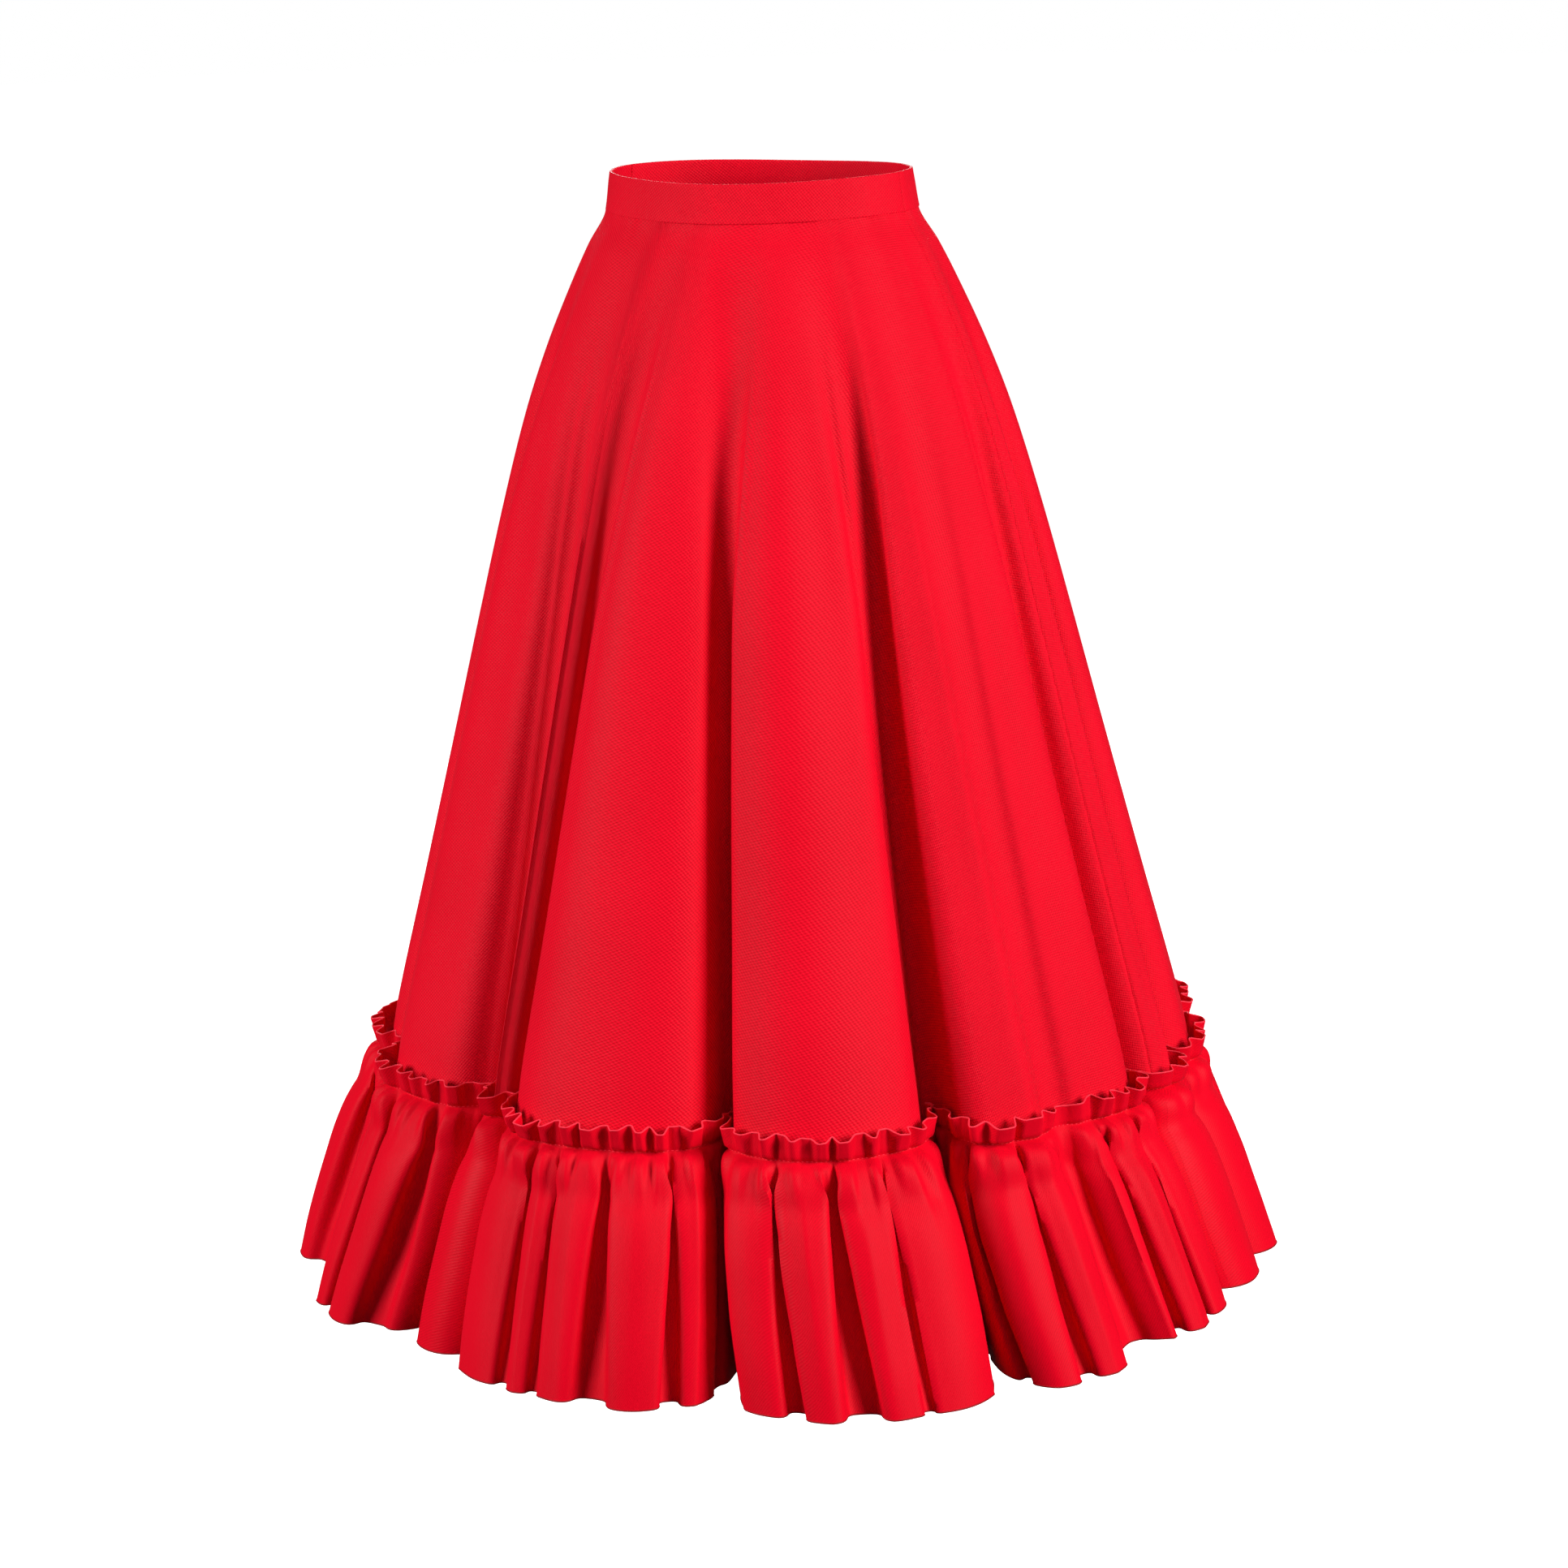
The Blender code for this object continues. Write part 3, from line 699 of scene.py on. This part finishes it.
# Height, gathers' swing, folds' swing
ruffleRows = np.array([
    (form["headerTop"], 0.0064, 0.0010), (form["gatherLine"], 0.0042, 0.0014), (-0.7120, 0.0046, 0.0036),
    (-0.7300, 0.0032, 0.0072), (-0.7500, 0.0017, 0.0100), (-0.7800, 0.0004, 0.0116),
    (-0.8200, 0.0000, 0.0116), (-0.8600, 0.0000, 0.0102), (form["hem"], 0.0000, 0.0088),
])[::-1]
# Troughs set one by one where they show most: fold, its place along the strip, half width, depth, the fold's
# size
troughRows = [
    (4, 4.12, 0.20, 0.95, 1.10), (5, 4.90, 0.15, 0.85, 0.90), (6, 6.10, 0.22, 0.95, 1.10),
    (9, 9.70, 0.12, 0.70, 0.95), (10, 10.28, 0.10, 0.60, 1.00), (11, 11.26, 0.25, 0.85, 1.00),
    (12, 12.40, 0.14, 0.95, 1.10), (13, 13.20, 0.13, 0.90, 1.05),
    (15, 15.16, 0.105, 1.00, 1.20), (16, 15.84, 0.18, 1.00, 1.20), (17, 16.50, 0.06, 0.55, 1.10),
    (19, 19.00, 0.10, 0.85, 1.10), (20, 19.80, 0.14, 0.95, 1.10), (21, 20.60, 0.12, 0.85, 1.10),
    (22, 21.60, 0.14, 0.95, 1.15), (23, 22.45, 0.12, 0.90, 1.05), (24, 23.40, 0.13, 0.95, 1.10),
]


def arcTables():
    steps = np.linspace(0.0, 1.0, 121)          # places along each lobe
    controls = foldControls(form["gatherLine"])
    tables, whole = [], []
    for i in range(lobeCount):
        points, _ = splineAt(controls, i + steps)
        lengths = np.linalg.norm(np.diff(points, axis=0), axis=1)
        lengths *= 1.0 - form["cleftCrowding"] * (inCleft(steps[1:] - 1e-6) + inCleft(steps[:-1])) / 2
        shares = np.concatenate([[0.0], np.cumsum(lengths)])
        tables.append((shares / shares[-1], steps))
        whole.append(shares[-1])
    return tables, np.array(whole)


tables, lobeLengths = arcTables()
foldCounts = [row[7] for row in foldRows]
foldStarts = np.concatenate([[0], np.cumsum(foldCounts)])
allFolds = int(foldStarts[-1])
draw = np.random.default_rng(ruffle["seed"])


def drawn(limits, count):
    low, high = limits
    return low + (high - low) * draw.random(count)


foldSize = drawn((1 - ruffle["swing"], 1 + ruffle["swing"]), allFolds)
troughWidth = drawn(ruffle["troughWidth"], allFolds)
troughDepth = drawn(ruffle["troughDepth"], allFolds)
troughPlace = np.arange(allFolds) + drawn(ruffle["troughDrift"], allFolds)
for fold, place, width, depth, size in troughRows:
    troughPlace[fold], troughWidth[fold], troughDepth[fold], foldSize[fold] = place, width, depth, size
lobeWaves = np.maximum(np.round(lobeLengths / ruffle["waveWidth"]), ruffle["leastWaves"])
waveStarts = np.concatenate([[0], np.cumsum(lobeWaves)])
allWaves = int(waveStarts[-1])
# each wave of the header: where its forward stretch starts and ends, and how far out both stretches stand
stretchStart = drawn(ruffle["startDrift"], allWaves)
stretchEnd = ruffle["forwardShare"] + drawn(ruffle["endDrift"], allWaves)
forwardLevel = drawn(ruffle["forwardLevel"], allWaves)
pinchedLevel = drawn(ruffle["pinchedLevel"], allWaves)
pinchLength = drawn(ruffle["pinchLength"], allWaves)


def foldPlace(fold):
    fold = np.asarray(fold, dtype=float)
    turns = np.floor(fold / allFolds)
    inside = fold - turns * allFolds
    lobe = np.clip(np.searchsorted(foldStarts, inside, side="right") - 1, 0, lobeCount - 1)
    place = np.empty_like(inside)
    for k in range(lobeCount):
        here = lobe == k
        place[here] = k + np.interp((inside[here] - foldStarts[k]) / foldCounts[k], *tables[k])
    return place + turns * lobeCount


def placeFold(places):
    places = np.asarray(places, dtype=float)
    lobe = np.floor(places).astype(int)
    count = np.empty_like(places)
    for k, (whole, part) in enumerate(zip(lobe, places - lobe)):
        share = np.interp(part, tables[whole % lobeCount][1], tables[whole % lobeCount][0])
        count[k] = foldStarts[whole % lobeCount] + share * foldCounts[whole % lobeCount]
        count[k] += whole // lobeCount * allFolds
    return count


def blendAlong(values, count):
    # a value for each whole number, blended smoothly from one to the next
    whole = np.floor(count).astype(int)
    part = count - whole
    ease = part * part * (3 - 2 * part)
    return values[whole % len(values)] * (1 - ease) + values[(whole + 1) % len(values)] * ease


def headerWave(folds):
    # the header's waves: how far out a place stands, from 0 to 1, its lap sideways and its pinch's reach
    turns = np.floor(folds / allFolds)
    count = np.interp(folds - turns * allFolds, foldStarts, waveStarts) + turns * allWaves
    whole = np.floor(count).astype(int)
    level, lap = np.zeros_like(count), np.zeros_like(count)
    for step in (-1, 0, 1):
        wave = (whole + step) % allWaves
        rises = count - (whole + step) - stretchStart[wave]
        falls = count - (whole + step) - stretchEnd[wave]
        low, high = pinchedLevel[wave], forwardLevel[wave]
        width = ruffle["stepWidth"]
        up, down = smoothStep(0.5 + rises / (2 * width)), smoothStep(0.5 + falls / (2 * width))
        level += (high - low) * (up - down)
        for turned, apart in ((up, rises), (down, falls)):
            lap -= (turned - 0.5) * np.exp(-((apart / (ruffle["lapReach"] * width)) ** 2)) * high
    return count, level, lap, blendAlong(pinchLength, count)


def ruffleSection(z, places, folds):
    # points of the ruffle's middle surface at a height, drawn up where the hem rises
    gathers, hem = form["gatherLine"], form["hem"]
    rise = form["hemRise"] * max((gathers - z) / (gathers - hem), 0.0)
    low = ruffleLine(z, z, places, folds)
    if rise == 0:
        return low
    share = hemShare(places)[:, None]
    high = ruffleLine(z + rise, z, places, folds)
    return low * (1 - share) + high * share


def ruffleLine(z, row, places, folds):
    # the section that the form has at height z, with the folds of the strip's own row
    top, gathers, hem = form["headerTop"], form["gatherLine"], form["hem"]
    fall = max((gathers - row) / (gathers - hem), 0.0)
    rise = max((z - gathers) / (top - gathers), 0.0)
    gatherSwing = smoothTable(row, ruffleRows[:, 0], ruffleRows[:, 1])
    foldSwing = smoothTable(row, ruffleRows[:, 0], ruffleRows[:, 2])
    below = form["panelBottom"] + ruffle["insetAbove"] - row
    inset = 2 * foldSwing * float(smoothStep(below / ruffle["insetReach"]))
    controls = foldControls(min(z, gathers), inset)
    base, normal = splineAt(controls, places)
    tangent = np.stack([-normal[:, 1], normal[:, 0]], axis=1)
    cleft = inCleft(places)
    size = blendAlong(foldSize, folds) * (1.0 - ruffle["cleftDamping"] * cleft)
    # broad crests and narrow troughs, each trough with its own place, width and depth
    spread = ruffle["troughTop"] + ruffle["troughOpening"] * fall
    crest, lapping, nearest = np.ones_like(folds), np.zeros_like(folds), np.full_like(folds, allFolds)
    for step in (-1, 0, 1):
        turns, fold = np.divmod(np.round(folds).astype(int) + step, allFolds)
        away = folds - troughPlace[fold] - turns * allFolds
        nearest = np.minimum(nearest, np.abs(away))
        apart = np.abs(away) / (troughWidth[fold] * spread)
        depth = np.minimum(troughDepth[fold], 1.0)
        crest -= depth * np.exp(-(apart ** ruffle["troughSquareness"]))
        lapped = sum(share * np.exp(-(((apart - middle) / width) ** 2))
                     for middle, width, share in ruffle["lapShape"])
        lapping -= depth * np.sign(away) * lapped
    rounded = 1.0 - ruffle["crestRound"] * np.exp(-((nearest / ruffle["crestReach"]) ** 2))
    crest = np.maximum(crest, 0.0) * rounded
    wave = 2 * foldSwing * size * crest
    count, level, lap, pinch = headerWave(folds)
    strength = 1.0 - ruffle["gatherDamping"] * cleft
    kept = np.exp(-((max(gathers - row, 0.0) / (ruffle["pinchReach"] * pinch)) ** 2))
    wave = wave + 2 * gatherSwing * strength * kept * level
    wave = wave * (1.0 - ruffle["stitchPull"] * math.exp(-(((row - gathers) / ruffle["stitchReach"]) ** 2)))
    out = (ruffle["standOff"] + ruffle["cleftClearance"] * cleft) * (1 - fall) + wave
    out = out + ruffle["headerLean"] * rise**1.5
    creased = creaseLift(places, max(row, gathers), float(np.mean(outerForm(gathers))))
    out = out + creased * math.exp(-((max(gathers - row, 0.0) / ruffle["creaseFades"]) ** 2))
    out = np.maximum(out, ruffle["leastStandOff"] + creased if row > form["panelBottom"] - 0.001 else 0.0)
    lapShare = rise if rise > 0 else ruffle["overhangBelow"] * kept
    curl = -ruffle["overhang"] * lapShare * strength * lap
    full = float(smoothStep((gathers - row) / ruffle["foldLapStarts"])) * (1 - ruffle["foldLapEases"] * fall)
    curl = curl + ruffle["foldLap"] * full * lapping * size
    points = base + normal * out[:, None] + tangent * curl[:, None]
    heights = np.full(len(points), float(z))
    pinched = ruffle["pinchedHigher"] * (0.5 - level) * strength
    (headerPitch, headerSeed), (hemPitch, hemSeed) = ruffle["headerNoise"], ruffle["hemNoise"]
    heights += rise * (ruffle["headerUneven"] * softNoise(count * headerPitch + 30, headerSeed) + pinched)
    heights += ruffle["hemUneven"] * fall**2 * softNoise(folds * hemPitch + 30, hemSeed)
    return np.column_stack([points, heights])


def makeRuffle():
    gathers, hem = form["gatherLine"], form["hem"]
    near, edge = np.array(ruffle["lineRows"]), ruffle["lineEdge"]
    down = np.linspace(0, 1, ruffle["flounceRows"]) ** ruffle["rowsWiden"]
    zRows = np.concatenate([
        np.linspace(form["headerTop"], gathers + edge, ruffle["headerRows"]), gathers + near[::-1],
        gathers - near, gathers - edge - (gathers - edge - hem) * down,
    ])
    zRows[-1] = hem
    made = {}
    for half, (first, last) in halves.items():
        span = placeFold(np.array([first, last]))
        inner = np.arange(math.ceil(span[0] * ruffle["columns"]), math.floor(span[1] * ruffle["columns"]) + 1)
        places = foldPlace(inner / ruffle["columns"])
        keep = (places > first + ruffle["seamClear"]) & (places < last - ruffle["seamClear"])
        places = np.concatenate([[first + ruffle["seamGap"]], places[keep], [last - ruffle["seamGap"]]])
        folds = placeFold(places)
        grid = np.stack([ruffleSection(z, places, folds) for z in zRows])
        widest = runLength(grid[-1])[-1]
        along = (folds - folds[0]) / (folds[-1] - folds[0]) * widest
        down = np.cumsum(np.r_[0, np.linalg.norm(np.diff(grid, axis=0), axis=2).mean(axis=1)])
        uv = np.stack([np.broadcast_to(along, grid.shape[:2]), np.broadcast_to(-down[:, None], grid.shape[:2])],
                      axis=2)
        piece = clothShell("ruffle_" + half + "_cloth", grid, uv, ruffle["thickness"], crepeCloth)
        print(f"ruffle_{half}: cloth {sheetArea(grid):.3f} m2, hem {widest:.3f} m, drop {down[-1]:.3f} m")
        made[half] = {"piece": piece, "grid": grid, "zRows": zRows, "flat": (float(widest), float(down[-1]))}
    return made


# Rolled edges and thread, by node trees that follow a line of the cloth
edges = {
    "headerRoll": 0.00062,
    "hemRoll": 0.00085,
    "rollStep": 0.0017,
    "rollSides": 6,
    "stitchLength": 0.0024,
    "stitchGap": 0.0036,
    "stitchSpread": (0.40, 0.60),   # half lengths, in parts of a stitch
    "threadRadius": 0.00030,
    "threadLift": 0.0001,       # off the cloth
    "seed": 11,
}


def lineTree(name, kinds):
    # a node tree that starts from a line cut into steps; its other inputs are given by name and kind
    tree = bpy.data.node_groups.new(name, "GeometryNodeTree")
    ids = {}
    for label, kind in {"Line": "Geometry", "Step": "Float", **kinds}.items():
        socket = tree.interface.new_socket(name=label, in_out="INPUT", socket_type="NodeSocket" + kind)
        ids[label.lower()] = socket.identifier
    tree.interface.new_socket(name="Mesh", in_out="OUTPUT", socket_type="NodeSocketGeometry")
    s = nodeSheet(tree)
    given = s.add("NodeGroupInput").outputs
    curve = s.add("GeometryNodeMeshToCurve", {0: given["Line"]}).outputs[0]
    steps = s.add("GeometryNodeResampleCurve", {"Curve": curve, "Length": given["Step"]}, mode="LENGTH")
    return tree, s, ids, given, steps.outputs[0]


def endTree(s, made, thread):
    # what was made, as one smooth mesh of the thread's material
    whole = s.add("GeometryNodeRealizeInstances", {0: made}).outputs[0]
    smooth = s.add("GeometryNodeSetShadeSmooth", {"Geometry": whole}).outputs[0]
    paint = s.add("GeometryNodeSetMaterial", {"Geometry": smooth, "Material": thread})
    s.add("NodeGroupOutput", {0: paint.outputs[0]})


def rollTree():
    kinds = {"Radius": "Float", "Sides": "Int", "Thread": "Material"}
    tree, s, ids, given, steps = lineTree("rolledEdge", kinds)
    inputs = {"Resolution": given["Sides"], "Radius": given["Radius"]}
    circle = s.add("GeometryNodeCurvePrimitiveCircle", inputs)
    inputs = {"Curve": steps, "Profile Curve": circle.outputs[0], "Fill Caps": True}
    endTree(s, s.add("GeometryNodeCurveToMesh", inputs).outputs[0], given["Thread"])
    return tree, ids


def stitchTree():
    kinds = {"Length": "Float", "Radius": "Float", "Seed": "Int", "Thread": "Material"}
    tree, s, ids, given, steps = lineTree("stitchRow", kinds)
    least, most = edges["stitchSpread"]
    share = s.add("FunctionNodeRandomValue", {2: least, 3: most, "Seed": given["Seed"]}, data_type="FLOAT")
    length = s.math("MULTIPLY", given["Length"], share.outputs[1])
    size = s.add("ShaderNodeCombineXYZ", {0: length, 1: given["Radius"], 2: given["Radius"]}).outputs[0]
    tangent = s.add("GeometryNodeInputTangent").outputs[0]
    turn = s.add("FunctionNodeAlignRotationToVector", {"Vector": tangent}, axis="X").outputs[0]
    stitch = s.add("GeometryNodeMeshIcoSphere", {"Radius": 1.0, "Subdivisions": 1}).outputs["Mesh"]
    inputs = {"Points": steps, "Instance": stitch, "Rotation": turn, "Scale": size}
    endTree(s, s.add("GeometryNodeInstanceOnPoints", inputs).outputs[0], given["Thread"])
    return tree, ids


def grown(name, points, tree, ids, **values):
    # runs a node tree on a line and keeps the result as a plain mesh
    path = bpy.data.meshes.new(name + "_line")
    path.from_pydata([tuple(p) for p in points], [(i, i + 1) for i in range(len(points) - 1)], [])
    line = placed(name + "_line", path)
    modifier = line.modifiers.new("grow", "NODES")
    modifier.node_group = tree
    for key, value in values.items():
        modifier[ids[key]] = value
    bpy.context.view_layer.update()
    mesh = bpy.data.meshes.new_from_object(line.evaluated_get(bpy.context.evaluated_depsgraph_get()))
    mesh.name = name
    line.modifiers.remove(modifier)
    bpy.data.objects.remove(line, do_unlink=True)
    return placed(name, mesh)


def makeEdges(strips):
    roll, rollIds = rollTree()
    stitches, stitchIds = stitchTree()
    rolled = [("headerEdge_", 0, "headerRoll", headerThread), ("hemEdge_", -1, "hemRoll", hemThread)]
    made = {}
    for half, strip in strips.items():
        grid, zRows = strip["grid"], strip["zRows"]
        made[half] = [grown(name + half, grid[line], roll, rollIds, radius=edges[size],
                            step=edges["rollStep"], sides=edges["rollSides"], thread=thread)
                      for name, line, size, thread in rolled]
        row = int(np.argmin(np.abs(zRows - form["gatherLine"])))
        outward = np.cross(grid[row + 1] - grid[row - 1], np.gradient(grid[row], axis=0))
        outward /= np.linalg.norm(outward, axis=1)[:, None]
        line = grid[row] + outward * (ruffle["thickness"] / 2 + edges["threadLift"])
        made[half].append(grown("gatherStitches_" + half, line, stitches, stitchIds, step=edges["stitchGap"],
                                length=edges["stitchLength"], radius=edges["threadRadius"],
                                seed=edges["seed"], thread=headerThread))
    return made


panels = makePanels()
bands = makeBand()
strips = makeRuffle()
trims = makeEdges(strips)
print("cloth laid, edges rolled and gathers stitched")

for half in halves:
    for kind, made, slotName in (("waistband_", bands, "twill"), ("skirt_", panels, "twill"),
                                 ("ruffle_", strips, "crepe")):
        piece = made[half]["piece"]
        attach(piece, "root")
        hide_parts(kind + half)
    for piece in trims[half]:
        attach(piece, "root")
print("pieces declared")


# Floor, light and camera
studio = {
    "floorHeight": -1.45,
    "floorSize": 40.0,
    "world": 0.05,
    "backdropRadius": 22.0,
    "azimuth": 25.0,
    "distance": 3.5,
    "height": 0.3555,
    "sideways": 0.004,
    "pitch": 13.5,
    "roll": -1.75,
    "lens": 101.0,
    "floorShade": 0.6,
    "lightDistance": 4.5,
    "lightAim": -0.45,          # height that the lights look at
}
# Azimuth and elevation in degrees, width and height in metres, watts
lightRows = {
    "rightLight": (78.0, 20.0, 1.4, 2.2, 262.0),
    "leftLight": (-46.0, 16.0, 1.4, 2.2, 205.0),
    "frontLight": (30.0, 46.0, 1.6, 1.6, 24.0),
    "backLight": (205.0, 20.0, 2.0, 2.2, 80.0),
}


def paleSurface(name, mesh, shade):
    # a pale stage surface that glows a little, so that the paper white of the photo is reached
    material = bpy.data.materials.new(name)
    material.use_nodes = True
    shader = material.node_tree.nodes["Principled BSDF"]
    finish = {
        "Base Color": (shade, shade, shade, 1.0), "Roughness": 0.9, "Specular IOR Level": 0.0,
        "Emission Color": (1.0, 1.0, 1.0, 1.0), "Emission Strength": 1.0,
    }
    for key, value in finish.items():
        shader.inputs[key].default_value = value
    mesh.materials.append(material)
    surface = placed(name, mesh)
    surface.visible_diffuse = False
    surface.visible_glossy = False
    surface.visible_shadow = False


def paleStage():
    size, low = studio["floorSize"] / 2, studio["floorHeight"]
    floor = bpy.data.meshes.new("floor")
    corners = [(-size, -size, low), (size, -size, low), (size, size, low), (-size, size, low)]
    floor.from_pydata(corners, [], [(0, 1, 2, 3)])
    paleSurface("floor", floor, studio["floorShade"])
    backdrop = bpy.data.meshes.new("backdrop")
    rings, sides = 12, 24
    points, faces = [], []
    for r in range(rings + 1):
        tilt = math.pi * r / rings
        for k in range(sides):
            turn = 2 * math.pi * k / sides
            points.append([studio["backdropRadius"] * v for v in (
                math.sin(tilt) * math.cos(turn), math.sin(tilt) * math.sin(turn), math.cos(tilt))])
    for r in range(rings):
        for k in range(sides):
            faces.append((r * sides + k, (r + 1) * sides + k, (r + 1) * sides + (k + 1) % sides,
                          r * sides + (k + 1) % sides))
    backdrop.from_pydata(points, [], faces)
    paleSurface("backdrop", backdrop, 0.0)


def softLight(name, azimuth, elevation, width, height, power):
    turn, tilt = math.radians(azimuth), math.radians(elevation)
    toward = Vector((math.sin(turn) * math.cos(tilt), -math.cos(turn) * math.cos(tilt), math.sin(tilt)))
    data = bpy.data.lights.new(name, "AREA")
    data.shape = "RECTANGLE"
    data.size, data.size_y, data.energy = width, height, power
    lamp = placed(name, data)
    lamp.location = Vector((0.0, 0.0, studio["lightAim"])) + studio["lightDistance"] * toward
    lamp.rotation_euler = (-toward).to_track_quat("-Z", "Y").to_euler()


def photoCamera():
    data = bpy.data.cameras.new("camera")
    data.lens = studio["lens"]
    data.sensor_width = 36.0
    data.clip_end = 100.0
    turn = math.radians(studio["azimuth"])
    away = Vector((math.sin(turn), -math.cos(turn), 0.0)) * studio["distance"]
    right = Vector((math.cos(turn), math.sin(turn), 0.0)) * studio["sideways"]
    camera = placed("camera", data)
    aimed = (Matrix.Rotation(turn, 4, "Z") @ Matrix.Rotation(math.radians(90 - studio["pitch"]), 4, "X")
             @ Matrix.Rotation(math.radians(studio["roll"]), 4, "Z"))
    aimed.translation = away + right + Vector((0, 0, studio["height"]))
    camera.matrix_world = aimed
    bpy.context.scene.camera = camera


def studioWorld():
    world = bpy.data.worlds.new("studio")
    world.use_nodes = True
    background = world.node_tree.nodes["Background"]
    background.inputs["Color"].default_value = (1.0, 1.0, 1.0, 1.0)
    background.inputs["Strength"].default_value = studio["world"]
    bpy.context.scene.world = world
    bpy.context.scene.view_settings.view_transform = "Standard"


paleStage()
studioWorld()
for name, row in lightRows.items():
    softLight(name, *row)
photoCamera()
print("floor, light and camera set")
